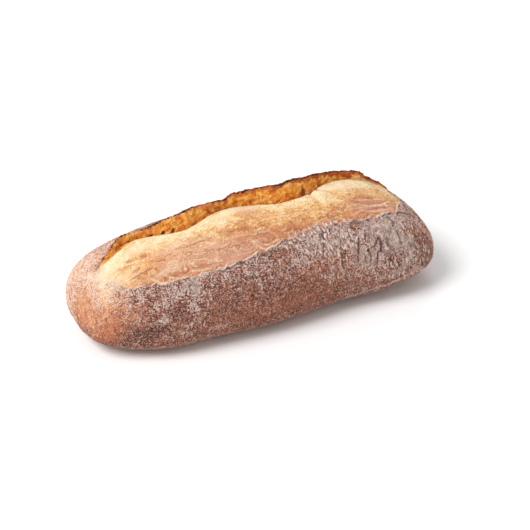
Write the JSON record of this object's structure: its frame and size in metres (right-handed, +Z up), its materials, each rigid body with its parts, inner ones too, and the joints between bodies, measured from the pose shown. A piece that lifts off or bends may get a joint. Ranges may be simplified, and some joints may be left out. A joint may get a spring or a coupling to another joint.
{
  "type": "loaf of bread",
  "caption": "Long crusty pugliese loaf, baked free-standing, with a slash along its top that opened into a pale bloom beside a dark raised ear; solid, resting on its flat base.",
  "frame": {"origin": "on the surface the loaf rests on, under the centre of its bounding box", "axes": "+X along the loaf towards its wider end, -Y the side the slash opens towards, +Z up"},
  "size_m": [0.33, 0.148, 0.0946],
  "materials": {
    "crust": "matt floured crust"
  },
  "bodies": {
    "root": {"loaf": "crust"}
  },
  "joints": []
}
